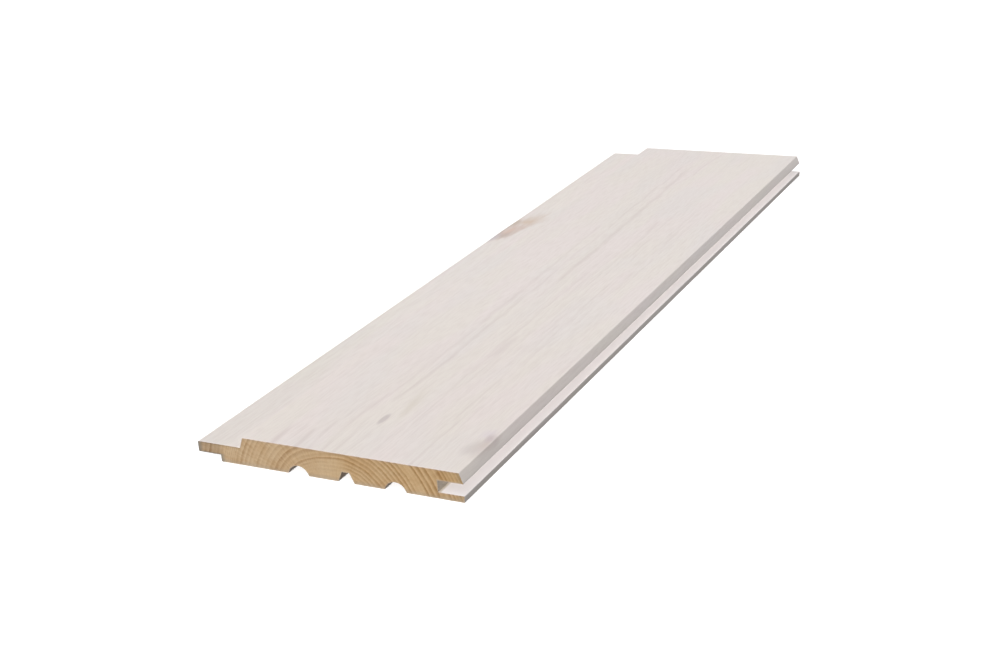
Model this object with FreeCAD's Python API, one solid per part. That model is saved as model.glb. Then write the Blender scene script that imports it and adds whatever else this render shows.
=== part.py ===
import FreeCAD, Part

import math
import os

# A tongue and groove panel board, planed from one length of softwood.
# X runs across the width from the tongue to the groove, Y along the grain and Z from the back to the face.
# The origin is the middle of the back, on the plane that the board lies on. All sizes are in millimetres.

# Overall size
LENGTH = 440.0
WIDTH = 120.0
THICKNESS = 12.0

# Tongue, on the -X edge
TONGUE_LENGTH = 10.7
TONGUE_THICKNESS = 4.5
TONGUE_HEIGHT = 3.0

# Rebate above the tongue, which shows as a shadow gap between two boards laid together
SHADOW_GAP = 9.8
EDGE_SLOPE_DEG = 20.5

# Groove, in the +X edge, as the clearances that it leaves round the next board's tongue
CLEARANCE_ABOVE = 0.1
CLEARANCE_BELOW = 0.3
CLEARANCE_AT_TIP = 0.3

# Reliefs in the back: a round one near each edge and a V-shaped one halfway between them
SHOULDER_TO_RELIEF = 31.85
RELIEF_TO_GROOVE = 13.75
ROUND_RELIEF_WIDTH = 9.3
ROUND_RELIEF_DEPTH = 3.7
V_RELIEF_WIDTH = 7.2
V_RELIEF_ROOF_WIDTH = 3.2
V_RELIEF_DEPTH = 4.3

# Radii that the planer leaves on the outer corners of the section
FACE_CORNER_RADIUS = 0.2
TONGUE_TIP_RADIUS = 0.3
LIP_CORNER_RADIUS = 0.15
BACK_CORNER_RADIUS = 0.2
SHARP = 0.0

# Cutters run this far past the surfaces that they open
OVERRUN = 2.0

# Places that follow from the sizes above
LEFT = -WIDTH / 2
RIGHT = WIDTH / 2
TONGUE_TOP = TONGUE_HEIGHT + TONGUE_THICKNESS
GROOVE_ROOF = TONGUE_TOP + CLEARANCE_ABOVE
GROOVE_FLOOR = TONGUE_HEIGHT - CLEARANCE_BELOW
GROOVE_DEPTH = TONGUE_LENGTH + CLEARANCE_AT_TIP
SHOULDER_X = LEFT + TONGUE_LENGTH
REBATE_X = SHOULDER_X + SHADOW_GAP
GROOVE_WALL_X = RIGHT - GROOVE_DEPTH
LEFT_RELIEF_X = SHOULDER_X + SHOULDER_TO_RELIEF + ROUND_RELIEF_WIDTH / 2
RIGHT_RELIEF_X = GROOVE_WALL_X - RELIEF_TO_GROOVE - ROUND_RELIEF_WIDTH / 2
V_RELIEF_X = (LEFT_RELIEF_X + RIGHT_RELIEF_X) / 2


def edge_slope_run(rise):
    """How far a sloping edge of the face runs sideways over a rise."""
    return rise * math.tan(math.radians(EDGE_SLOPE_DEG))


def section_point(x, z):
    """A point of the section, at the board's near end."""
    return FreeCAD.Vector(x, -LENGTH / 2, z)


def rounded_section(corners):
    """A face in the section plane, from (x, z, radius) corners in order, each rounded to its radius."""
    edges = []
    starts = []
    ends = []
    for i, (x, z, radius) in enumerate(corners):
        corner = section_point(x, z)
        before = section_point(*corners[i - 1][:2]) - corner
        after = section_point(*corners[(i + 1) % len(corners)][:2]) - corner
        half_angle = before.getAngle(after) / 2
        setback = radius / math.tan(half_angle)
        before.normalize()
        after.normalize()
        start = corner + before * setback
        end = corner + after * setback
        starts.append(start)
        ends.append(end)
        if radius > 0:
            bisector = before + after
            bisector.normalize()
            middle = corner + bisector * (radius / math.sin(half_angle) - radius)
            edges.append(Part.Arc(start, middle, end).toShape())
    for i, end in enumerate(ends):
        edges.append(Part.LineSegment(end, starts[(i + 1) % len(starts)]).toShape())
    return Part.Face(Part.Wire(Part.__sortEdges__(edges)))


def along_the_grain(section, start=0.0, length=LENGTH):
    """A solid that carries a section along the board, from a distance past its near end."""
    section.translate(FreeCAD.Vector(0, start, 0))
    return section.extrude(FreeCAD.Vector(0, length, 0))


def blank():
    """The board with its tongue, rebate and groove, and a plain back."""
    left_run = edge_slope_run(THICKNESS - TONGUE_TOP)
    right_run = edge_slope_run(THICKNESS - GROOVE_ROOF)
    tongue = [
        (SHOULDER_X, TONGUE_HEIGHT, SHARP),
        (LEFT, TONGUE_HEIGHT, TONGUE_TIP_RADIUS),
        (LEFT, TONGUE_TOP, TONGUE_TIP_RADIUS),
        (REBATE_X, TONGUE_TOP, SHARP),
    ]
    face = [
        (REBATE_X + left_run, THICKNESS, FACE_CORNER_RADIUS),
        (RIGHT - right_run, THICKNESS, FACE_CORNER_RADIUS),
    ]
    groove = [
        (RIGHT, GROOVE_ROOF, LIP_CORNER_RADIUS),
        (GROOVE_WALL_X, GROOVE_ROOF, SHARP),
        (GROOVE_WALL_X, GROOVE_FLOOR, SHARP),
        (RIGHT, GROOVE_FLOOR, LIP_CORNER_RADIUS),
    ]
    back = [
        (RIGHT, 0.0, BACK_CORNER_RADIUS),
        (SHOULDER_X, 0.0, BACK_CORNER_RADIUS),
    ]
    return along_the_grain(rounded_section(tongue + face + groove + back))


def round_relief_cutter(x):
    """A bar of the radius that cuts a round relief of the stated width and depth."""
    radius = (ROUND_RELIEF_WIDTH**2 / 4 + ROUND_RELIEF_DEPTH**2) / (2 * ROUND_RELIEF_DEPTH)
    near = FreeCAD.Vector(x, -LENGTH / 2 - OVERRUN, ROUND_RELIEF_DEPTH - radius)
    return Part.makeCylinder(radius, LENGTH + 2 * OVERRUN, near, FreeCAD.Vector(0, 1, 0))


def v_relief_cutter(x):
    """A prism with sloping sides and a narrow flat roof, widened below the back at the same slope."""
    flare = (V_RELIEF_WIDTH - V_RELIEF_ROOF_WIDTH) / 2 / V_RELIEF_DEPTH * OVERRUN
    half_mouth = V_RELIEF_WIDTH / 2 + flare
    half_roof = V_RELIEF_ROOF_WIDTH / 2
    outline = [
        (x - half_mouth, -OVERRUN, SHARP),
        (x - half_roof, V_RELIEF_DEPTH, SHARP),
        (x + half_roof, V_RELIEF_DEPTH, SHARP),
        (x + half_mouth, -OVERRUN, SHARP),
    ]
    return along_the_grain(rounded_section(outline), -OVERRUN, LENGTH + 2 * OVERRUN)


def board():
    """The whole board, as one solid."""
    cutters = [
        round_relief_cutter(LEFT_RELIEF_X),
        v_relief_cutter(V_RELIEF_X),
        round_relief_cutter(RIGHT_RELIEF_X),
    ]
    return blank().cut(cutters).removeSplitter()


os.makedirs("parts", exist_ok=True)
board().exportStep("parts/board.step")
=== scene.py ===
import math
from collections import namedtuple

import bmesh
import bpy
import numpy as np
from mathutils import Matrix, Vector, geometry, noise


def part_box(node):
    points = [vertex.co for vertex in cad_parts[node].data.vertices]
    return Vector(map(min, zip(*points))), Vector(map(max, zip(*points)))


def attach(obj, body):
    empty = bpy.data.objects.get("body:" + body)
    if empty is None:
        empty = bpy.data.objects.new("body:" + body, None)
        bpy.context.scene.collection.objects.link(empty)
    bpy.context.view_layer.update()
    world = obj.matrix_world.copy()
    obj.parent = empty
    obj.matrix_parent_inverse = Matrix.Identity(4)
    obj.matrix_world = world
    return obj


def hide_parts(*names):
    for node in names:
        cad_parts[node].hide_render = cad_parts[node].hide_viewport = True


# The board is dressed here as one mesh: the section of the CAD part, walked round in small steps and carried
# along the grain, with grain relief on its long surfaces, sawn ends and broken end arrises. One field of growth
# rings runs through the whole board, so the rings on the ends meet the grain lines on the face.
# Sizes in this file are millimetres, and MM turns them into the frame's metres.
MM = 0.001

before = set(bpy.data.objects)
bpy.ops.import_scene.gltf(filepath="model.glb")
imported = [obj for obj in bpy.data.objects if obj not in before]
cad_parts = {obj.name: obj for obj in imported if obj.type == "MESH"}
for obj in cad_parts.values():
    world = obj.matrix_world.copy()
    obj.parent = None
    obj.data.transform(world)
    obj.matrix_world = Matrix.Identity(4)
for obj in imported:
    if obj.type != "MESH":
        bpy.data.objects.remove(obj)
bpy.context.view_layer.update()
board_lo, board_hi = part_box("board")

# Overall size, from the frame
LEFT, RIGHT = board_lo.x / MM, board_hi.x / MM
NEAR, FAR = board_lo.y / MM, board_hi.y / MM
THICKNESS = board_hi.z / MM

# Section, as in the CAD part
TONGUE_LENGTH = 10.7
TONGUE_BOTTOM = 3.0
TONGUE_TOP = 7.5
SHADOW_GAP = 9.8
EDGE_SLOPE = math.tan(math.radians(20.5))
GROOVE_DEPTH = 11.0
GROOVE_FLOOR = 2.7
GROOVE_ROOF = 7.6
ROUND_RELIEFS = (-12.8, 30.6)
ROUND_RELIEF_WIDTH = 9.3
ROUND_RELIEF_DEPTH = 3.7
V_RELIEF_X = 8.9
V_RELIEF_WIDTH = 7.2
V_RELIEF_ROOF_WIDTH = 3.2
V_RELIEF_DEPTH = 4.3
FACE_RADIUS = 0.2
TONGUE_RADIUS = 0.3
LIP_RADIUS = 0.15
BACK_RADIUS = 0.2
SHOULDER_X = LEFT + TONGUE_LENGTH
REBATE_X = SHOULDER_X + SHADOW_GAP
FACE_LEFT_X = REBATE_X + (THICKNESS - TONGUE_TOP) * EDGE_SLOPE
FACE_RIGHT_X = RIGHT - (THICKNESS - GROOVE_ROOF) * EDGE_SLOPE
GROOVE_WALL_X = RIGHT - GROOVE_DEPTH

# Mesh steps
FACE_STEP = 0.36
PLAIN_STEP = 0.8
ARC_POINTS = 5
STATION_STEP = 3.4
FINE_STRETCHES = ((NEAR, -205.0, 1.8), (-205.0, -182.0, 1.2), (38.0, 88.0, 2.0))
END_STEP = 0.9
CAP_STEP = 0.62
SHARP_ANGLE = math.radians(35.0)

# Growth rings. The pith lies under the back, and the two halves of the section have centres of their own, as the
# tree wasn't quite round. Each half has its pith (x, z), how far the dark latewood of its first ring is from the
# pith, the widths of the rings that follow, as stretches of (how many rings, how wide each one is), and how dark
# each ring is. A ring's edge is a little further out than its latewood. The first ten rings cross the middle, so
# both halves count them alike.
Half = namedtuple("Half", "pith first_ring widths darkness")
LEFT_HALF = Half((-1.2, -10.5), 10.8,
                 ((5, 1.4), (2, 1.55), (2, 2.2), (4, 2.0), (2, 1.6), (3, 2.0), (6, 0.9), (4, 1.85), (2, 2.3)),
                 (0.1, 0.1, 0.1, 0.12, 0.15, 0.35, 0.65, 0.15, 0.5, 0.78, 0.3, 0.4, 0.3, 0.5, 0.15, 0.4, 0.5, 0.7,
                  0.35, 0.3, 0.3, 0.4, 0.3, 0.3, 0.35, 0.35, 0.3, 0.2, 1.0, 0.5, 0.3))
RIGHT_HALF = Half((3.7, -16.2), 16.9,
                  ((5, 1.65), (8, 1.8), (3, 1.6), (4, 2.3), (5, 1.4), (2, 2.0)),
                  (0.15, 0.2, 0.2, 0.3, 0.5, 0.5, 0.65, 0.5, 0.4, 0.65, 0.55, 0.75, 0.7, 0.55, 0.15, 0.1, 0.8,
                   0.7, 0.75, 0.3, 0.75, 0.65, 0.4, 0.45, 0.3, 0.5, 0.3, 0.3))
HALVES_MEET = (-7.0, 12.0)
LATEWOOD_INSIDE = 0.38
TAPER = 0.003
RAY_RADIUS = 40.0

# Where the rings run nearer to the pith than circles would: the place (x, z), how wide it is and by how much
DIPS = ((-8.0, 7.0, 4.0, 0.25), (12.5, 9.0, 4.5, 0.5), (22.0, 0.0, 5.0, 0.55))

# Relief of the surfaces
GRAIN_DEPTH = 0.035
FIBRE_DEPTH = 0.012
KNOT_CRACK = 0.02
SAW_DEPTH = 0.05
TOP_ARRIS_BREAK = 0.07
OTHER_ARRIS_BREAK = 0.04
RIM_WIDTH = 0.6
END_INSET = 0.02

# Knots and stained places, as ellipsoids: the centre, the half sizes across and along the grain and downwards,
# and the turn of the long axis from the grain in degrees
Spot = namedtuple("Spot", "x y z across along deep turn")
PIN_KNOT = Spot(7.6, -187.0, 12.0, 1.75, 5.9, 8.0, 0.0)
EDGE_KNOT = Spot(56.0, -195.5, 11.6, 4.9, 10.5, 5.0, 3.0)
SHELF_KNOT = Spot(-55.0, 58.0, 6.5, 7.4, 18.0, 7.0, -9.0)
KNOTS = (PIN_KNOT, EDGE_KNOT, SHELF_KNOT)
SHELF_TAIL = Spot(-52.0, 77.0, 6.5, 9.0, 18.5, 7.0, -16.0)
SHELF_EDGE = Spot(-60.0, 57.0, 7.5, 1.6, 14.0, 3.0, 0.0)
SHELF_FRONT = Spot(-55.4, 51.0, 7.5, 4.8, 9.5, 4.0, -14.0)
SHELF_HEART = Spot(-55.8, 58.0, 7.5, 2.6, 9.0, 3.0, -8.0)
SHELF_BROWN = Spot(-58.6, 70.0, 7.5, 2.6, 9.0, 4.0, -8.0)
SHELF_TAN = Spot(-52.6, 74.5, 7.5, 3.4, 6.5, 4.0, -16.0)
SHELF_MAUVE = Spot(-59.0, 45.5, 7.5, 2.6, 9.5, 3.0, -6.0)
EDGE_PALE = Spot(54.8, -199.4, 12.0, 5.6, 9.0, 6.0, 0.0)
EDGE_HALO = Spot(54.6, -187.0, 12.0, 4.4, 6.5, 6.0, 0.0)
EDGE_BODY = Spot(57.0, -195.0, 12.0, 4.8, 12.5, 6.0, 0.0)
EDGE_TAN = Spot(57.0, -195.6, 12.0, 2.2, 4.0, 3.0, 0.0)
EDGE_DARK = Spot(56.6, -190.2, 12.0, 3.0, 4.8, 5.0, 4.0)
GREY_SMEAR = Spot(20.6, -106.5, 12.0, 3.2, 17.0, 4.0, 1.0)
TAN_SMEAR = Spot(11.4, -169.0, 12.0, 3.0, 19.0, 4.0, 8.1)

# Dark lines that stand out on the face by themselves: the strength and the width of each one, and the places
# (x, y) that it runs through
Line = namedtuple("Line", "strength width path")
LINES = (
    Line(1.4, 2.1, ((-22.6, -228), (-24.0, -217), (-25.3, -202))),
    Line(0.6, 1.2, ((-25.0, -216), (-23.4, -197))),
    Line(0.6, 1.1, ((-18.6, -216), (-19.3, -198))),
    Line(1.3, 1.9, ((-12.4, -228), (-13.6, -214), (-14.8, -200))),
    Line(0.9, 1.4, ((-6.2, -228), (-8.2, -213), (-9.4, -204), (-9.8, -190))),
    Line(1.0, 1.5, ((4.6, -228), (3.2, -210), (2.0, -195))),
    Line(0.5, 1.0, ((9.3, -228), (8.8, -208), (8.1, -195))),
    Line(0.8, 1.5, ((-0.4, -228), (-2.0, -211), (-3.4, -202), (-3.7, -190), (-3.5, -177), (-2.2, -160))),
    Line(0.6, 1.5, ((-2.2, -168), (-1.8, -150), (-1.8, -120), (-1.6, -103), (-2.0, -84))),
    Line(0.85, 1.5, ((-2.1, -88), (-2.8, -62), (-2.3, -48), (-2.8, -30), (-3.1, -17), (-3.5, 0))),
    Line(0.6, 1.1, ((-3.4, -6), (-3.6, 15), (-4.2, 24), (-4.1, 36), (-4.9, 50), (-5.1, 70))),
    Line(0.5, 0.9, ((1.3, -200), (1.2, -181))),
    Line(0.5, 0.9, ((-8.7, -192), (-8.1, -169))),
    Line(0.35, 1.0, ((-6.6, -156), (-6.8, -124), (-6.3, -98))),
    Line(1.05, 1.5, ((1.6, -172), (3.1, -156), (3.4, -142), (3.5, -128), (3.3, -112))),
    Line(0.85, 1.5, ((3.2, -120), (2.8, -104), (3.0, -96), (2.5, -80), (2.6, -65), (2.3, -54), (1.2, -40))),
    Line(0.6, 1.2, ((2.4, -42), (2.4, -24), (1.5, -11), (0.8, 4))),
    Line(0.45, 1.2, ((1.2, 4), (0.8, 24), (1.4, 38), (0.8, 50), (0.8, 76))),
    Line(0.75, 1.0, ((0.6, 72), (-0.1, 92), (-0.4, 103), (0.3, 114), (-0.7, 128), (-0.8, 144))),
    Line(0.7, 1.0, ((0.4, 142), (-0.6, 160), (-1.0, 172), (-1.8, 188))),
    Line(0.55, 1.4, ((9.0, -46), (8.6, -30), (8.9, -12))),
    Line(1.1, 2.1, ((9.0, -24), (8.7, -12), (8.2, -2), (8.3, 20), (8.7, 29), (8.6, 38))),
    Line(0.7, 2.2, ((8.6, 30), (8.2, 42), (7.3, 52))),
    Line(0.95, 2.3, ((7.6, 42), (7.3, 58), (6.6, 66), (7.2, 78), (6.7, 98))),
    Line(1.0, 1.9, ((6.8, 90), (6.5, 100), (5.6, 110), (6.3, 118), (5.8, 134))),
    Line(0.95, 2.0, ((5.6, 130), (4.8, 145), (5.0, 155), (4.5, 168), (3.4, 182))),
    Line(0.5, 1.3, ((-4.6, 44), (-5.0, 55), (-5.2, 67))),
    Line(0.7, 1.1, ((11.6, 164), (10.7, 180), (11.0, 192), (12.2, 203), (13.8, 216))),
    Line(0.6, 1.1, ((21.3, -192), (20.4, -168), (19.8, -148), (19.6, -130), (18.9, -112))),
    Line(0.65, 0.9, ((18.9, -102), (18.3, -72), (18.4, -60))),
    Line(0.5, 0.9, ((18.2, -62), (17.8, -44), (18.1, -20), (18.5, -2))),
    Line(0.5, 0.8, ((15.6, -98), (14.9, -82), (15.1, -70), (14.8, -46))),
    Line(0.55, 0.8, ((23.7, -156), (23.2, -136), (22.9, -108))),
    Line(0.5, 0.8, ((21.0, -38), (20.9, -4))),
    Line(0.8, 0.9, ((37.4, -228), (37.2, -200), (37.7, -176))),
    Line(0.7, 0.9, ((34.9, -184), (34.7, -165), (35.0, -150), (34.7, -134))),
    Line(0.5, 0.8, ((18.0, -220), (18.3, -194))),
    Line(0.6, 0.8, ((31.7, -128), (31.0, -110), (29.9, -98))),
    Line(0.6, 0.9, ((33.7, -104), (33.2, -88), (32.9, -70))),
    Line(0.6, 0.8, ((36.2, -128), (36.3, -98), (35.6, -80), (35.8, -66), (34.9, -50), (34.7, -12))),
    Line(0.5, 1.5, ((41.0, -126), (41.2, -98))),
    Line(0.7, 0.8, ((29.5, 18), (29.2, 36), (28.8, 54))),
    Line(0.5, 0.8, ((31.9, 12), (31.4, 44))),
    Line(0.5, 1.1, ((39.4, 24), (40.0, 42), (39.0, 55), (38.8, 70))),
    Line(0.9, 1.4, ((23.7, 56), (23.2, 70), (22.9, 82))),
    Line(0.45, 0.9, ((23.6, 94), (22.8, 108), (21.2, 120))),
    Line(0.45, 0.9, ((40.9, -30), (40.1, 6))),
    Line(0.5, 0.9, ((56.2, -130), (56.3, -86))),
)
LINE_END = 7.0

# The layout of the board's flat map: the long surfaces below, unrolled, and the two ends in bands above them
MAP_MARGIN = 0.004
LONG_SURFACES_TOP = 0.775
END_BANDS = ((0.785, 0.885), (0.895, 0.995))
HIDDEN_SHARE = 0.5


def smooth(low, high, value):
    """0 below low, 1 above high and a smooth step between them."""
    t = np.clip((value - low) / (high - low), 0.0, 1.0)
    return t * t * (3.0 - 2.0 * t)


def noise_at(points, scale, seed=0.0):
    """Smooth noise from -1 to 1 at each point. scale is the size of its lumps along X, Y and Z."""
    scaled = points / np.array(scale) + seed
    return np.array([noise.noise(Vector(p)) for p in scaled])


def spot_reach(points, spot):
    """How far each point is from a spot's centre, where 1 is the spot's edge."""
    x, y, z = (points - (spot.x, spot.y, spot.z)).T
    turn = math.radians(spot.turn)
    across = x * math.cos(turn) + y * math.sin(turn)
    along = y * math.cos(turn) - x * math.sin(turn)
    return np.sqrt((across / spot.across) ** 2 + (along / spot.along) ** 2 + (z / spot.deep) ** 2)


def ring_radii(half):
    """How far the dark latewood of each ring is from the pith."""
    widths = [width for count, width in half.widths for _ in range(count)]
    return np.cumsum([half.first_ring] + widths)


def ring_numbers(x, z, outward_shift, half):
    """The ring number at each place, as one half of the section counts its rings."""
    radius = np.hypot(x - half.pith[0], z - half.pith[1]) + outward_shift
    return np.interp(radius, ring_radii(half), np.arange(len(half.darkness)))


def growth(points):
    """The ring number of each point, whose whole part names the ring, and its way round the pith in mm."""
    x, y, z = points.T.copy()
    for knot in KNOTS:
        x = knot.x + (x - knot.x) * (1.0 - 0.7 * np.exp(-((spot_reach(points, knot) / 1.3) ** 2)))
    from_near = y - NEAR
    shift = TAPER * from_near - LATEWOOD_INSIDE
    for dip_x, dip_z, width, depth in DIPS:
        shift += depth * np.exp(-((np.hypot(x - dip_x, z - dip_z) / width) ** 2))
    shift += 0.4 * noise_at(points, (16.0, 110.0, 16.0), 3.1) * smooth(0.0, 60.0, from_near)
    shift += 0.14 * noise_at(points, (3.0, 26.0, 3.0), 7.7)
    left = ring_numbers(x, z, shift, LEFT_HALF)
    right = ring_numbers(x, z, shift, RIGHT_HALF)
    side = smooth(*HALVES_MEET, x)
    pith_x = LEFT_HALF.pith[0] + (RIGHT_HALF.pith[0] - LEFT_HALF.pith[0]) * side
    pith_z = LEFT_HALF.pith[1] + (RIGHT_HALF.pith[1] - LEFT_HALF.pith[1]) * side
    return left + (right - left) * side, np.arctan2(x - pith_x, z - pith_z) * RAY_RADIUS


def line_shade(points):
    """How dark the face's own lines are at each point, from 0 to 1."""
    x, y, z = points.T
    x = x + 0.3 * noise_at(points, (30.0, 12.0, 30.0), 17.0)
    shade = np.zeros(len(points))
    for line in LINES:
        line_x, line_y = zip(*line.path)
        away = np.abs(x - np.interp(y, line_y, line_x)) / line.width
        ends = smooth(0.0, LINE_END, y - line_y[0]) * smooth(0.0, LINE_END, line_y[-1] - y)
        shade = np.maximum(shade, line.strength * (1.0 - smooth(0.1, 1.0, away)) * ends)
    patchy = 0.8 + 0.45 * noise_at(points, (4.0, 13.0, 4.0), 29.0)
    return shade * patchy * smooth(THICKNESS - 1.0, THICKNESS - 0.3, z)


def rounded(corners):
    """An open run of points through (x, z, radius) corners, with an arc at each inner corner that has a radius."""
    points = [np.array(corners[0][:2])]
    for before, (x, z, radius), after in zip(corners, corners[1:], corners[2:]):
        corner = np.array((x, z))
        if radius == 0.0:
            points.append(corner)
            continue
        inward = np.array(before[:2]) - corner
        onward = np.array(after[:2]) - corner
        inward, onward = inward / np.hypot(*inward), onward / np.hypot(*onward)
        half = math.acos(np.clip(inward @ onward, -1.0, 1.0)) / 2
        middle = inward + onward
        centre = corner + middle / np.hypot(*middle) * radius / math.sin(half)
        start = corner + inward * radius / math.tan(half) - centre
        end = corner + onward * radius / math.tan(half) - centre
        first = math.atan2(start[1], start[0])
        turn = (math.atan2(end[1], end[0]) - first + math.pi) % math.tau - math.pi
        for t in np.linspace(0.0, 1.0, ARC_POINTS):
            angle = first + turn * t
            points.append(centre + radius * np.array((math.cos(angle), math.sin(angle))))
    points.append(np.array(corners[-1][:2]))
    return points


def round_relief(x):
    """The arc of a round relief, from its right edge to its left one."""
    half = ROUND_RELIEF_WIDTH / 2
    radius = (half**2 + ROUND_RELIEF_DEPTH**2) / (2 * ROUND_RELIEF_DEPTH)
    reach = math.asin(half / radius)
    return [np.array((x + radius * math.sin(a), ROUND_RELIEF_DEPTH - radius + radius * math.cos(a)))
            for a in np.linspace(reach, -reach, 19)]


def v_relief(x):
    """The corners of the V-shaped relief, from right to left."""
    mouth, roof = V_RELIEF_WIDTH / 2, V_RELIEF_ROOF_WIDTH / 2
    return [np.array(p) for p in ((x + mouth, 0.0), (x + roof, V_RELIEF_DEPTH),
                                  (x - roof, V_RELIEF_DEPTH), (x - mouth, 0.0))]


def stepped(points, step):
    """The same run with its longer stretches divided into steps."""
    run = [points[0]]
    for a, b in zip(points, points[1:]):
        count = max(1, math.ceil(np.hypot(*(b - a)) / step))
        run += [a + (b - a) * k / count for k in range(1, count + 1)]
    return run


def section():
    """The section's outline as an array of (x, z) points, clockwise from the widest land of the back."""
    back_middle = (SHOULDER_X + ROUND_RELIEFS[0] - ROUND_RELIEF_WIDTH / 2) / 2
    left_edge = rounded([(back_middle, 0.0, 0.0), (SHOULDER_X, 0.0, BACK_RADIUS),
                         (SHOULDER_X, TONGUE_BOTTOM, 0.0), (LEFT, TONGUE_BOTTOM, TONGUE_RADIUS),
                         (LEFT, TONGUE_TOP, TONGUE_RADIUS), (REBATE_X, TONGUE_TOP, 0.0),
                         (FACE_LEFT_X, THICKNESS, FACE_RADIUS), (FACE_RIGHT_X, THICKNESS, 0.0)])[:-1]
    right_edge = rounded([(FACE_LEFT_X, THICKNESS, 0.0), (FACE_RIGHT_X, THICKNESS, FACE_RADIUS),
                          (RIGHT, GROOVE_ROOF, LIP_RADIUS), (GROOVE_WALL_X, GROOVE_ROOF, 0.0),
                          (GROOVE_WALL_X, GROOVE_FLOOR, 0.0), (RIGHT, GROOVE_FLOOR, LIP_RADIUS),
                          (RIGHT, 0.0, BACK_RADIUS), (GROOVE_WALL_X, 0.0, 0.0)])[1:-1]
    back = round_relief(ROUND_RELIEFS[1]) + v_relief(V_RELIEF_X) + round_relief(ROUND_RELIEFS[0])
    face = stepped([left_edge[-1], right_edge[0]], FACE_STEP)
    before = stepped(left_edge, PLAIN_STEP)
    after = stepped(right_edge + back + [left_edge[0]], PLAIN_STEP)
    return np.array(before[:-1] + face + after[1:-1])


def outward(outline):
    """The outward normal of a clockwise outline at each of its points."""
    along = np.roll(outline, -1, axis=0) - np.roll(outline, 1, axis=0)
    normal = np.stack((-along[:, 1], along[:, 0]), axis=1)
    return normal / np.hypot(*normal.T)[:, None]


def inside(points, outline):
    """Whether each point lies inside the outline."""
    x, z = points[:, :1], points[:, 1:]
    x0, z0 = outline.T
    x1, z1 = np.roll(outline, -1, axis=0).T
    spans = (z0 > z) != (z1 > z)
    rise = np.where(z1 == z0, 1.0, z1 - z0)
    return ((spans & (x < x0 + (z - z0) / rise * (x1 - x0))).sum(axis=1) % 2).astype(bool)


def distance_to(points, outline):
    """How far each point is from the outline, and which piece of the outline is the nearest."""
    run = np.roll(outline, -1, axis=0) - outline
    length = (run**2).sum(axis=1)
    t = np.clip(((points[:, None] - outline) * run).sum(axis=2) / length, 0.0, 1.0)
    nearest = outline + run * t[..., None]
    away = np.hypot(*(points[:, None] - nearest).transpose(2, 0, 1))
    return away.min(axis=1), away.argmin(axis=1)


def cap_points(outline):
    """Points of a staggered grid inside the outline, clear of its edge."""
    grid = []
    for k, z in enumerate(np.arange(CAP_STEP / 2, THICKNESS, CAP_STEP * math.sin(math.radians(60)))):
        first = LEFT + CAP_STEP * (0.5 + 0.5 * (k % 2))
        grid += [(x, z) for x in np.arange(first, RIGHT, CAP_STEP)]
    grid = np.array(grid)
    grid = grid[inside(grid, outline)]
    return grid[distance_to(grid, outline)[0] > CAP_STEP * 0.45]


def stations():
    """The places along the grain where the section is drawn, closer together at the knots and the near end."""
    places = [NEAR + END_STEP]
    while places[-1] < FAR - END_STEP - STATION_STEP:
        steps = [step for start, stop, step in FINE_STRETCHES if start <= places[-1] < stop]
        places.append(places[-1] + min(steps, default=STATION_STEP))
    return places + [FAR - END_STEP]


def latewood(numbers):
    """How far into a ring's dark latewood each ring number is, from 0 to 1."""
    part = numbers % 1.0
    return smooth(0.35, 0.85, part) * (1.0 - smooth(0.93, 1.0, part))


def faces_up(normals):
    """1 where the section's outline faces up and -1 elsewhere."""
    return np.where(normals[:, 1] > 0.2, 1.0, -1.0)


def arris_break(points, normals):
    """How far the end arris is broken back at each of its points, with a few small chips."""
    fine = noise_at(points, (1.1, 1.0, 1.1), 21.3)
    coarse = noise_at(points, (5.0, 1.0, 5.0), 40.9)
    depth = np.where(faces_up(normals) > 0.0, TOP_ARRIS_BREAK, OTHER_ARRIS_BREAK)
    return depth * (1.0 + 0.4 * fine + 2.0 * np.clip(fine + coarse - 0.6, 0.0, 0.5))


def end_loops(outline, normals, end, inward):
    """The two loops of one end: the rim of the sawn face and the edge of the long surfaces."""
    rim = np.column_stack((outline[:, 0], np.full(len(outline), end), outline[:, 1]))
    edge = rim.copy()
    back = arris_break(rim, normals)
    rim[:, [0, 2]] -= normals * back[:, None]
    rim[:, 1] += inward * END_INSET
    edge[:, 1] += inward * back * 1.3
    return rim, edge


def with_relief(points, normals, numbers):
    """The points of the long surfaces, with the soft wood between the rings and the edges of knots sunk."""
    sunk = GRAIN_DEPTH * (1.0 - latewood(numbers))
    sunk += FIBRE_DEPTH * (1.0 + noise_at(points, (1.1, 30.0, 1.1), 11.0))
    for knot in KNOTS:
        reach = spot_reach(points, knot)
        sunk *= smooth(0.4, 1.2, reach)
        sunk += KNOT_CRACK * np.exp(-(((reach - 1.0) / 0.3) ** 2))
    points = points.copy()
    points[:, [0, 2]] -= normals * sunk[:, None]
    return points


def map_columns(outline):
    """The place of each of the outline's points across the flat map, with the start once more at the end."""
    ahead = np.roll(outline, -1, axis=0)
    shown = (outline[:, 1] + ahead[:, 1]) / 2 > TONGUE_TOP - 0.1
    widths = np.hypot(*(ahead - outline).T) * np.where(shown, 1.0, HIDDEN_SHARE)
    columns = np.concatenate(([0.0], np.cumsum(widths)))
    return MAP_MARGIN + (1.0 - 2 * MAP_MARGIN) * columns / columns[-1]


def map_of_end(points, band):
    """The places of an end's points in its band of the flat map."""
    u = MAP_MARGIN + (1.0 - 2 * MAP_MARGIN) * (points[:, 0] - LEFT) / (RIGHT - LEFT)
    v = band[0] + (band[1] - band[0]) * points[:, 2] / THICKNESS
    return np.column_stack((u, v))


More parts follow.
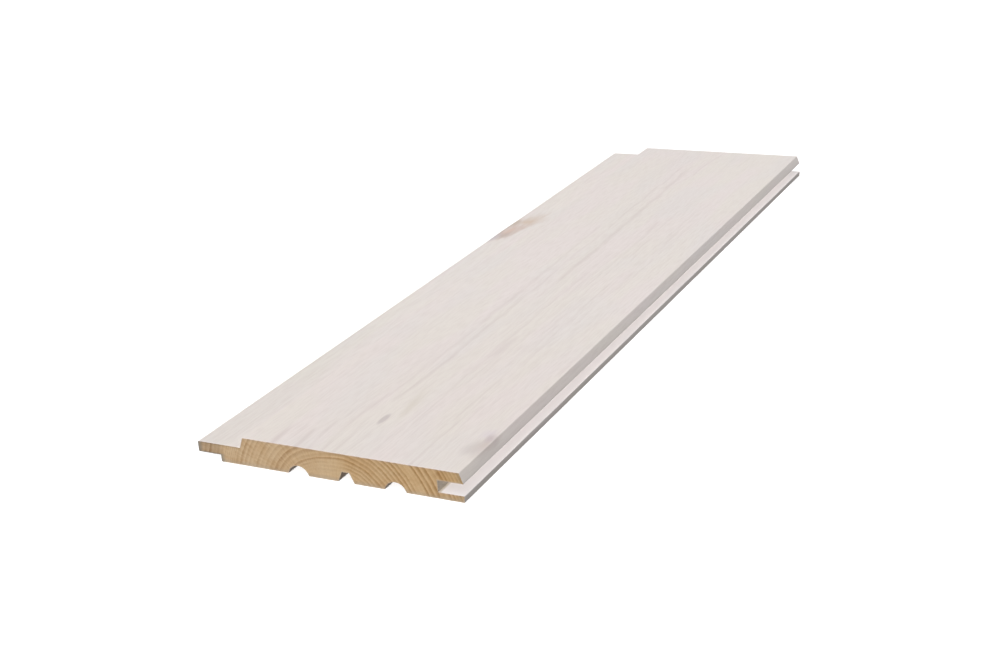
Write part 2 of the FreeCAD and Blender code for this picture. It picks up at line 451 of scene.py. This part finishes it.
def board_mesh():
    """The whole board as one closed mesh, in metres. Its second material is for the sawn ends."""
    outline = section()
    normals = outward(outline)
    count = len(outline)
    near_rim, near_edge = end_loops(outline, normals, NEAR, 1.0)
    far_rim, far_edge = end_loops(outline, normals, FAR, -1.0)
    body = [np.column_stack((outline[:, 0], np.full(count, y), outline[:, 1])) for y in stations()]
    loops = [near_rim, near_edge] + body + [far_edge, far_rim]
    last = len(loops) - 1
    points = np.concatenate(loops)
    numbers, rays = growth(points)
    lines = line_shade(points)
    long_surfaces = slice(count, last * count)
    points[long_surfaces] = with_relief(points[long_surfaces], np.tile(normals, (last - 1, 1)),
                                        numbers[long_surfaces])

    faces, places, sawn = [], [], []
    columns = map_columns(outline)
    rows = MAP_MARGIN + (LONG_SURFACES_TOP - MAP_MARGIN) * (points[::count, 1] - NEAR) / (FAR - NEAR)
    ends = {0: map_of_end(points[:2 * count], END_BANDS[0]),
            last - 1: map_of_end(points[-2 * count:], END_BANDS[1])}
    for k in range(last):
        for j in range(count):
            ahead = (j + 1) % count
            corners = (j, ahead, count + ahead, count + j)
            faces.append(tuple(k * count + corner for corner in corners))
            if k in ends:
                places += [ends[k][corner] for corner in corners]
            else:
                places += [(columns[j], rows[k]), (columns[j + 1], rows[k]),
                           (columns[j + 1], rows[k + 1]), (columns[j], rows[k + 1])]
            sawn.append(k in ends)

    verts = [points]
    upward = faces_up(normals)
    rims = [np.tile(upward, len(loops))]
    start = len(points)
    for loop_index, inward, band in ((0, 1.0, END_BANDS[0]), (last, -1.0, END_BANDS[1])):
        rim = loops[loop_index]
        flat = rim[:, [0, 2]]
        grid = cap_points(flat)
        inner = np.column_stack((grid[:, 0], np.full(len(grid), rim[0, 1]), grid[:, 1]))
        inner_numbers, inner_rays = growth(inner)
        numbers = np.concatenate((numbers, inner_numbers))
        rays = np.concatenate((rays, inner_rays))
        lines = np.concatenate((lines, np.zeros(len(grid))))
        from_rim, nearest = distance_to(grid, flat)
        rims.append(upward[nearest] * (1.0 - smooth(0.0, RIM_WIDTH, from_rim)))
        depth = SAW_DEPTH * (1.0 - latewood(inner_numbers) + noise_at(inner, (9.0, 1.0, 1.3), 5.0))
        inner[:, 1] += inward * np.maximum(depth, 0.0) * smooth(0.0, 1.0, from_rim)
        verts.append(inner)
        both = [Vector(p) for p in np.concatenate((flat, grid))]
        found = geometry.delaunay_2d_cdt(both, [], [list(range(count))], 1, 1e-7)
        triangles, origins = found[2], found[3]
        number_of = np.concatenate((np.arange(count) + loop_index * count, np.arange(len(grid)) + start))
        end_places = map_of_end(np.concatenate((rim, inner)), band)
        for triangle in triangles:
            corners = [origins[corner][0] for corner in triangle]
            if inward < 0:
                corners.reverse()
            faces.append(tuple(int(number_of[corner]) for corner in corners))
            places += [end_places[corner] for corner in corners]
            sawn.append(True)
        start += len(grid)

    mesh = bpy.data.meshes.new("board_wood")
    mesh.from_pydata([tuple(p) for p in np.concatenate(verts) * MM], [], faces)
    for name, values in (("ring", numbers), ("ray", rays), ("line", lines), ("rim", np.concatenate(rims))):
        mesh.attributes.new(name, "FLOAT", "POINT").data.foreach_set("value", values.astype(np.float32))
    mesh.uv_layers.new(name="OFBake").data.foreach_set("uv", np.array(places, np.float32).ravel())
    mesh.polygons.foreach_set("material_index", np.array(sawn, np.int32))
    mesh.polygons.foreach_set("use_smooth", np.ones(len(faces), bool))
    mesh.set_sharp_from_angle(angle=SHARP_ANGLE)
    mesh.update()
    return mesh


class Nodes:
    """Adds nodes to one material."""

    def __init__(self, name):
        self.material = bpy.data.materials.new(name)
        self.material.use_nodes = True
        self.tree = self.material.node_tree
        self.shader = self.tree.nodes["Principled BSDF"]

    def put(self, socket, value):
        """Links a node's output to an input, or sets the input to a plain value."""
        if isinstance(value, bpy.types.NodeSocket):
            self.tree.links.new(value, socket)
        else:
            socket.default_value = value

    def math(self, operation, *values, clamp=False):
        node = self.tree.nodes.new("ShaderNodeMath")
        node.operation = operation
        node.use_clamp = clamp
        for socket, value in zip(node.inputs, values):
            self.put(socket, value)
        return node.outputs[0]

    def span(self, value, low, high, to_low=0.0, to_high=1.0):
        """A smooth step from to_low to to_high as the value goes from low to high."""
        node = self.tree.nodes.new("ShaderNodeMapRange")
        node.interpolation_type = "SMOOTHSTEP"
        for name, v in (("Value", value), ("From Min", low), ("From Max", high),
                        ("To Min", to_low), ("To Max", to_high)):
            self.put(node.inputs[name], v)
        return node.outputs[0]

    def vector(self, operation, a, b):
        node = self.tree.nodes.new("ShaderNodeVectorMath")
        node.operation = operation
        self.put(node.inputs[0], a)
        self.put(node.inputs[1], b)
        return node.outputs[0]

    def joined(self, x, y):
        node = self.tree.nodes.new("ShaderNodeCombineXYZ")
        self.put(node.inputs[0], x)
        self.put(node.inputs[1], y)
        return node.outputs[0]

    def noise(self, vector, scale, detail=2.0, roughness=0.5):
        node = self.tree.nodes.new("ShaderNodeTexNoise")
        self.put(node.inputs["Vector"], self.vector("MULTIPLY", vector, scale))
        self.put(node.inputs["Scale"], 1.0)
        self.put(node.inputs["Detail"], detail)
        self.put(node.inputs["Roughness"], roughness)
        return node.outputs["Fac"]

    def mix(self, factor, a, b, blend="MIX"):
        node = self.tree.nodes.new("ShaderNodeMix")
        node.data_type = "RGBA"
        node.blend_type = blend
        self.put(node.inputs["Factor"], factor)
        self.put(node.inputs["A"], a)
        self.put(node.inputs["B"], b)
        return node.outputs["Result"]

    def attribute(self, name):
        node = self.tree.nodes.new("ShaderNodeAttribute")
        node.attribute_name = name
        return node.outputs["Fac"]

    def position(self):
        """The place on the board in millimetres, in the board's own frame."""
        node = self.tree.nodes.new("ShaderNodeTexCoord")
        return self.vector("MULTIPLY", node.outputs["Object"], (1 / MM,) * 3)

    def parts(self, vector):
        node = self.tree.nodes.new("ShaderNodeSeparateXYZ")
        self.put(node.inputs[0], vector)
        return node.outputs[:]

    def steps(self, value, table):
        """A value that jumps from one entry of a table to the next as the input passes whole numbers."""
        node = self.tree.nodes.new("ShaderNodeValToRGB")
        ramp = node.color_ramp
        ramp.interpolation = "CONSTANT"
        for k, level in enumerate(table):
            stop = ramp.elements[k] if k < len(ramp.elements) else ramp.elements.new(k / len(table))
            stop.position = k / len(table)
            stop.color = (level, level, level, 1.0)
        self.put(node.inputs["Fac"], self.math("DIVIDE", value, float(len(table))))
        return node.outputs["Color"]

    def reach(self, place, spot):
        """How far the place is from a spot's centre, where 1 is the spot's edge."""
        mapping = self.tree.nodes.new("ShaderNodeMapping")
        mapping.vector_type = "TEXTURE"
        self.put(mapping.inputs["Vector"], place)
        self.put(mapping.inputs["Location"], (spot.x, spot.y, spot.z))
        self.put(mapping.inputs["Rotation"], (0.0, 0.0, math.radians(spot.turn)))
        self.put(mapping.inputs["Scale"], (spot.across, spot.along, spot.deep))
        length = self.tree.nodes.new("ShaderNodeVectorMath")
        length.operation = "LENGTH"
        self.put(length.inputs[0], mapping.outputs[0])
        return length.outputs["Value"]

    def finish(self, colour, roughness, height, depth):
        """Sets the shader: its colour, its roughness and a bump of a depth in millimetres."""
        bump = self.tree.nodes.new("ShaderNodeBump")
        self.put(bump.inputs["Height"], height)
        self.put(bump.inputs["Distance"], depth * MM)
        self.put(self.shader.inputs["Normal"], bump.outputs[0])
        self.put(self.shader.inputs["Base Color"], colour)
        self.put(self.shader.inputs["Roughness"], roughness)
        self.put(self.shader.inputs["Specular IOR Level"], 0.3)
        return self.material


def srgb(red, green, blue):
    """A colour given as screen values from 0 to 255."""
    parts = [c / 255 for c in (red, green, blue)]
    return (*(c / 12.92 if c <= 0.04 else ((c + 0.055) / 1.055) ** 2.4 for c in parts), 1.0)


def ring_darkness(half):
    """The darkness by ring number. A whole number names the ring outside the half's ring of that number."""
    return half.darkness[1:] + half.darkness[-1:]


def ring_shade(n, place, x):
    """How dark the rings are at each place, from 0 to 1."""
    wobble = n.math("SUBTRACT", n.noise(place, (0.9, 0.06, 0.9)), 0.5)
    number = n.math("MULTIPLY_ADD", wobble, 0.2, n.attribute("ring"))
    part = n.math("FRACT", number)
    dark = n.math("MULTIPLY", n.span(part, 0.12, 0.78), n.span(part, 0.88, 1.0, 1.0, 0.0))
    left = n.steps(number, ring_darkness(LEFT_HALF))
    right = n.steps(number, ring_darkness(RIGHT_HALF))
    return n.math("MULTIPLY", dark, n.mix(n.span(x, *HALVES_MEET), left, right))


def ring_contrast(n, x):
    """How strongly the rings show on the sawn ends: hardly at all round the pith, in full elsewhere."""
    outside = n.span(n.attribute("ring"), 5.2, 5.8)
    beside = n.span(n.math("ABSOLUTE", n.math("SUBTRACT", x, 1.0)), 5.0, 11.0, 0.3, 1.0)
    return n.math("MAXIMUM", outside, beside)


# How the knots and stained places show through the glaze: where each one starts to fade towards its edge, how
# ragged the edge is, how strong it is and its colour
SPOT_TONES = (
    (GREY_SMEAR, 0.1, 0.7, 0.5, (214, 203, 199)),
    (TAN_SMEAR, 0.0, 0.8, 0.8, (218, 209, 199)),
    (SHELF_TAIL, 0.1, 0.9, 0.85, (217, 202, 191)),
    (SHELF_KNOT, 0.3, 0.8, 0.85, (211, 192, 183)),
    (SHELF_FRONT, 0.0, 0.8, 0.8, (197, 181, 174)),
    (SHELF_BROWN, 0.1, 0.8, 0.7, (196, 180, 166)),
    (SHELF_TAN, 0.0, 0.8, 0.75, (212, 191, 172)),
    (SHELF_MAUVE, 0.1, 0.6, 0.8, (196, 188, 192)),
    (SHELF_HEART, 0.0, 0.6, 0.75, (219, 193, 180)),
    (SHELF_EDGE, 0.0, 0.5, 0.7, (180, 166, 160)),
    (EDGE_HALO, 0.0, 0.6, 0.7, (221, 210, 215)),
    (EDGE_PALE, 0.3, 0.6, 0.8, (211, 202, 198)),
    (EDGE_BODY, 0.2, 0.6, 0.6, (211, 199, 194)),
    (EDGE_DARK, 0.1, 0.6, 0.85, (203, 190, 190)),
    (EDGE_TAN, 0.0, 0.5, 0.35, (208, 194, 185)),
    (PIN_KNOT, 0.5, 0.3, 0.95, (206, 196, 193)),
)


def glazed_wood():
    """Planed softwood under a thin white glaze, for the long surfaces."""
    n = Nodes("glazed_wood")
    place = n.position()
    x, y, z = n.parts(place)

    # How much of the rings shows through the glaze, from place to place
    broken = n.span(n.noise(place, (0.35, 0.055, 0.35), 1.0), 0.38, 0.62, 0.0, 1.4)
    right = n.math("SUBTRACT", n.span(x, 9.0, 18.0, 0.0, 0.085), n.span(x, 42.0, 50.0, 0.0, 0.03))
    left = n.span(x, -20.0, -8.0, 0.05, 0.0)
    shown = n.math("MULTIPLY", n.math("ADD", right, left), n.span(y, 60.0, 140.0, 1.0, 0.2))
    shown = n.math("MULTIPLY_ADD", shown, broken, 0.015)
    rings = n.math("MULTIPLY", ring_shade(n, place, x), shown)
    grain = n.math("MULTIPLY_ADD", n.attribute("line"), 0.3, rings)

    # The glaze, a little pinker, warmer or greyer from place to place, and thinner towards the near end
    tint = n.noise(place, (0.07, 0.016, 0.07), 1.0)
    grey = n.noise(n.vector("ADD", place, (300.0, 0.0, 0.0)), (0.05, 0.016, 0.05), 1.0)
    colour = n.mix(n.span(tint, 0.38, 0.62), srgb(234, 225, 222), srgb(233, 226, 220))
    colour = n.mix(n.span(grey, 0.45, 0.7, 0.0, 0.7), colour, srgb(231, 225, 222))
    near = n.span(y, NEAR, 0.0, 1.0, 0.0)
    shelf = n.span(x, SHOULDER_X, REBATE_X, 1.0, 0.0)
    colour = n.mix(near, colour, srgb(252, 251, 250), "MULTIPLY")
    colour = n.mix(n.math("MULTIPLY", near, shelf), colour, srgb(249, 252, 250), "MULTIPLY")
    colour = n.mix(grain, colour, srgb(196, 180, 176))

    # Fine fibres, in short and long streaks
    fibre = n.noise(place, (1.25, 0.11, 1.25), 2.0, 0.6)
    streak = n.noise(place, (0.45, 0.014, 0.45), 2.0)
    calm = n.math("MULTIPLY", n.span(x, 5.0, 20.0), n.span(y, 60.0, 170.0))
    lively = n.math("MULTIPLY_ADD", calm, -0.14, n.math("MULTIPLY_ADD", n.math("MULTIPLY", near, shelf), 0.1, 0.29))
    colour = n.mix(n.math("MULTIPLY", n.span(fibre, 0.38, 0.72), lively), colour, srgb(212, 201, 196))
    colour = n.mix(n.span(streak, 0.45, 0.7, 0.0, 0.08), colour, srgb(208, 197, 192))

    # The knots and stained places
    ragged = n.math("SUBTRACT", n.noise(place, (0.6, 0.09, 0.6), 3.0), 0.5)
    for spot, soft, roughness, depth, tone in SPOT_TONES:
        edge = n.math("MULTIPLY_ADD", ragged, roughness * 1.4, n.reach(place, spot))
        colour = n.mix(n.span(edge, soft, 1.1, depth, 0.0), colour, srgb(*tone))

    # Painted shade in the hollows: inside the groove a cooler, slightly darker tone, and a darker brownish grey on
    # its wall and into its corners; in the reliefs a warm darkening, deepest in the middle one
    groove = n.math("MULTIPLY", n.span(x, GROOVE_WALL_X - 0.4, GROOVE_WALL_X - 0.1),
                    n.math("MULTIPLY", n.span(z, GROOVE_FLOOR - 0.3, GROOVE_FLOOR - 0.15),
                           n.span(z, GROOVE_ROOF + 0.1, GROOVE_ROOF + 0.3, 1.0, 0.0)))
    wall = n.math("MULTIPLY", groove, n.span(x, GROOVE_WALL_X + 0.3, GROOVE_WALL_X + 1.5, 1.0, 0.0))
    relief = n.math("MULTIPLY", n.span(z, 0.2, 0.6), n.span(z, 4.8, 5.2, 1.0, 0.0))
    relief = n.math("MULTIPLY", relief, n.span(x, SHOULDER_X + 1.0, SHOULDER_X + 2.0))
    relief = n.math("MULTIPLY", relief, n.span(x, GROOVE_WALL_X - 2.0, GROOVE_WALL_X - 1.0, 1.0, 0.0))
    middle = n.span(n.math("ABSOLUTE", n.math("SUBTRACT", x, V_RELIEF_X)), 4.0, 5.0, 1.0, 0.0)
    # painted shade: the inside of the groove a little darker and cooler, its wall darker still
    colour = n.mix(groove, colour, srgb(227, 222, 221))
    colour = n.mix(wall, colour, srgb(190, 179, 164))
    # painted shade in the back reliefs
    colour = n.mix(relief, colour, n.mix(middle, srgb(236, 225, 210), srgb(229, 214, 195)), "MULTIPLY")

    return n.finish(colour, n.span(fibre, 0.3, 0.7, 0.44, 0.56), fibre, 0.02)


def bare_wood():
    """Sawn softwood, for the ends."""
    n = Nodes("bare_wood")
    place = n.position()
    x, y, z = n.parts(place)
    side = n.span(x, *HALVES_MEET)
    early = n.mix(side, srgb(237, 208, 169), srgb(234, 201, 156))
    pale = n.math("MULTIPLY", n.span(x, 31.0, 36.0), n.span(x, 46.5, 49.5, 1.0, 0.0))
    early = n.mix(pale, early, srgb(239, 207, 162))
    late = n.mix(side, srgb(196, 157, 116), srgb(188, 145, 94))
    patches = n.span(n.noise(place, (0.45, 0.45, 0.45), 2.0), 0.35, 0.65, n.span(x, -20.0, 0.0, 0.6, 0.8), 1.1)
    rings = n.math("MULTIPLY", ring_shade(n, place, x), ring_contrast(n, x))
    rings = n.math("MULTIPLY", rings, patches)
    colour = n.mix(rings, early, late)

    # The tongue is a little darker and the upper lip more orange, and so is a cloud here and there. The sawn
    # face is greyer along the back.
    lip = n.math("MULTIPLY", n.span(x, 48.0, 51.0), n.span(z, 5.0, 8.0))
    tongue = n.span(x, -50.5, -47.0, 1.0, 0.0)
    colour = n.mix(tongue, colour, srgb(230, 229, 232), "MULTIPLY")
    colour = n.mix(lip, colour, srgb(247, 244, 237), "MULTIPLY")
    colour = n.mix(n.span(x, 56.5, 58.5), colour, srgb(242, 247, 255), "MULTIPLY")
    colour = n.mix(n.span(z, 0.3, 2.2, 0.5, 0.0), colour, srgb(203, 184, 163))
    cloud = n.noise(place, (0.13, 0.13, 0.13), 3.0)
    colour = n.mix(n.span(cloud, 0.35, 0.65), colour, srgb(248, 243, 236), "MULTIPLY")

    # Rays, which cross the rings, and the cut ends of the fibres
    rays = n.noise(n.joined(n.attribute("ray"), n.attribute("ring")), (0.9, 0.25, 1.0), 2.0, 0.6)
    fibre = n.noise(place, (4.0, 4.0, 4.0), 2.0, 0.6)
    colour = n.mix(n.math("MULTIPLY", n.span(rays, 0.4, 0.7), n.span(x, -20.0, 0.0, 0.5, 0.3)),
                   colour, srgb(232, 220, 204), "MULTIPLY")
    colour = n.mix(n.span(fibre, 0.3, 0.75, 0.0, 0.3), colour, srgb(225, 212, 196), "MULTIPLY")

    # The arris: painted shade along the top, a grey-brown line under the face's edge and a paler one under the
    # shelf's; pale elsewhere; darker round the tongue and at the lip's edge; and dark where a strong ring meets the
    # face
    rim = n.attribute("rim")
    top = n.mix(n.span(x, REBATE_X, REBATE_X + 1.0, 1.0, 0.0), srgb(214, 192, 175), srgb(172, 152, 132))
    top = n.mix(tongue, top, srgb(128, 109, 94))
    top = n.mix(n.span(x, 56.5, 58.5), top, srgb(180, 152, 122))
    other = n.mix(tongue, srgb(222, 204, 184), srgb(124, 117, 104))
    # painted shade along the top arris
    colour = n.mix(n.span(rim, 0.1, 1.0, 0.0, 0.5), colour, top)
    colour = n.mix(n.math("MULTIPLY", rings, n.span(rim, 0.2, 1.0, 0.0, 0.5)), colour, srgb(150, 118, 88))
    colour = n.mix(n.span(rim, -1.0, -0.1, 0.5, 0.0), colour, other)
    tip = n.span(x, LEFT + 0.2, LEFT + 2.6, 0.6, 0.0)
    step = n.math("MULTIPLY", n.span(x, SHOULDER_X + 0.2, SHOULDER_X + 2.4, 0.5, 0.0),
                  n.span(z, TONGUE_BOTTOM, TONGUE_BOTTOM + 1.0, 1.0, 0.0))
    colour = n.mix(n.math("MAXIMUM", tip, step), colour, srgb(134, 139, 138))
    height = n.math("MULTIPLY_ADD", rings, 0.5, fibre)
    return n.finish(colour, n.span(cloud, 0.3, 0.7, 0.7, 0.8), height, 0.04)


def make_board():
    """The dressed board, which stands for the CAD node."""
    board = bpy.data.objects.new("board_wood", board_mesh())
    bpy.context.scene.collection.objects.link(board)
    board.data.materials.append(glazed_wood())
    board.data.materials.append(bare_wood())
    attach(board, "root")
    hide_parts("board")


# Camera, solved from the outline of the board in the photograph: its place, and its angles in degrees
CAMERA_PLACE = (310.29, -659.04, 264.62)
CAMERA_HEADING = 27.71
CAMERA_DOWN = 21.209
CAMERA_ROLL = 4.258
LENS = 55.572

# Light, as shares of what falls on the face. The key is a large lamp in front, high up and to the right, the
# dome is light from all round, and the fill reaches the two sides that the key doesn't.
LEVEL = 1.03
KEY_FROM = (0.187, -0.51, 0.84)
KEY_SHARE = 0.94
KEY_SHADOW = 0.2
KEY_SIZE = math.radians(25.0)
DOME_SHARE = 0.21
FILL_FROM = (-0.7, 0.7, -0.1)
FILL_SHARE = 0.25
FLOOR_GLOW = 0.25
STUDIO_RADIUS = 6.0


def make_camera():
    """The camera at the photograph's viewing angle."""
    data = bpy.data.cameras.new("camera")
    data.lens = LENS
    data.sensor_width = 36.0
    data.clip_start = 0.01
    data.clip_end = 50.0
    camera = bpy.data.objects.new("camera", data)
    bpy.context.scene.collection.objects.link(camera)
    turn = (Matrix.Rotation(math.radians(CAMERA_HEADING), 4, "Z")
            @ Matrix.Rotation(math.radians(90.0 - CAMERA_DOWN), 4, "X")
            @ Matrix.Rotation(math.radians(-CAMERA_ROLL), 4, "Z"))
    camera.matrix_world = Matrix.Translation(Vector(CAMERA_PLACE) * MM) @ turn
    bpy.context.scene.camera = camera


def make_stage(name, mesh, glow):
    """A plain white part of the studio, which the board takes neither light nor colour from."""
    stage = bpy.data.objects.new(name, mesh)
    bpy.context.scene.collection.objects.link(stage)
    n = Nodes(name)
    n.put(n.shader.inputs["Base Color"], srgb(248, 248, 248))
    n.put(n.shader.inputs["Roughness"], 0.9)
    n.put(n.shader.inputs["Specular IOR Level"], 0.0)
    n.put(n.shader.inputs["Emission Color"], (1.0, 1.0, 1.0, 1.0))
    n.put(n.shader.inputs["Emission Strength"], glow)
    mesh.materials.append(n.material)
    stage.visible_diffuse = False
    stage.visible_glossy = False
    stage.visible_shadow = False


def make_studio():
    """A plain pale floor, and a white sky round it."""
    floor = bpy.data.meshes.new("floor")
    half = STUDIO_RADIUS
    floor.from_pydata([(-half, -half, 0.0), (half, -half, 0.0), (half, half, 0.0), (-half, half, 0.0)],
                      [], [(0, 1, 2, 3)])
    make_stage("floor", floor, FLOOR_GLOW)
    sky = bpy.data.meshes.new("sky")
    shape = bmesh.new()
    bmesh.ops.create_uvsphere(shape, u_segments=48, v_segments=24, radius=STUDIO_RADIUS)
    shape.to_mesh(sky)
    shape.free()
    make_stage("sky", sky, 1.0)


def make_sun(name, towards, share, shadow):
    """A distant lamp, with the share of light that it gives a surface square to it."""
    data = bpy.data.lights.new(name, "SUN")
    data.energy = share * LEVEL * math.pi
    data.angle = KEY_SIZE
    data.use_shadow = shadow
    lamp = bpy.data.objects.new(name, data)
    bpy.context.scene.collection.objects.link(lamp)
    lamp.rotation_mode = "QUATERNION"
    lamp.rotation_quaternion = Vector(towards).to_track_quat("Z", "Y")


def make_light():
    """Soft studio light."""
    make_sun("key", KEY_FROM, KEY_SHARE * (1.0 - KEY_SHADOW), False)
    make_sun("key_shadow", KEY_FROM, KEY_SHARE * KEY_SHADOW, True)
    make_sun("fill", FILL_FROM, FILL_SHARE, False)
    world = bpy.data.worlds.new("studio")
    bpy.context.scene.world = world
    world.use_nodes = True
    background = world.node_tree.nodes["Background"]
    background.inputs["Color"].default_value = (1.0, 1.0, 1.0, 1.0)
    background.inputs["Strength"].default_value = DOME_SHARE * LEVEL


make_board()
make_camera()
make_studio()
make_light()
bpy.context.scene.view_settings.view_transform = "Standard"
